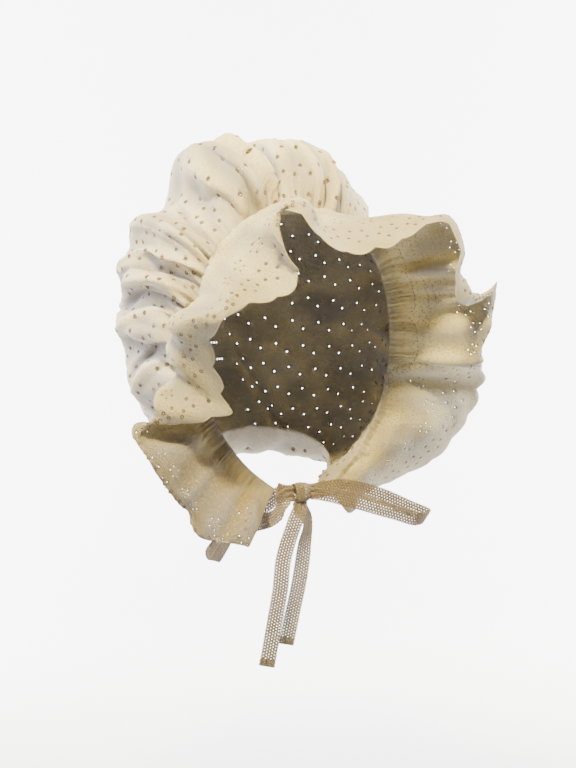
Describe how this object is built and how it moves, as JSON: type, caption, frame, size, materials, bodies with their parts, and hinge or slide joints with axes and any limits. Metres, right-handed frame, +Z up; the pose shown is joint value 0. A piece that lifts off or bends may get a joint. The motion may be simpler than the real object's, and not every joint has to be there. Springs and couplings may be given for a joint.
{
  "type": "colonial bonnet",
  "caption": "Puffed eyelet-cotton bonnet with a deep gathered ruffle round the face and lace ribbon ties in a bow under the chin.",
  "frame": {"origin": "the mount head_seat: the point on top of the wearer's head where the front of the seam rests", "axes": "+Z up, the face opening looks along -Y, +X is the wearer's left"},
  "size_m": [0.3505, 0.2867, 0.4455],
  "materials": {
    "crown_cotton": "ivory cotton batiste with embroidered eyelets, matt",
    "ruffle_cotton": "ivory cotton with a scalloped embroidered edge and eyelet flowers, matt",
    "lace": "cotton lace ribbon with open holes and picot edges, matt"
  },
  "bodies": {
    "root": {"crown": "crown_cotton", "ruffle": "ruffle_cotton", "tie_right": "lace", "tie_left": "lace", "bow_knot": "lace", "bow_loop_left": "lace", "bow_loop_right": "lace", "tail_front": "lace", "tail_back": "lace"}
  },
  "joints": []
}
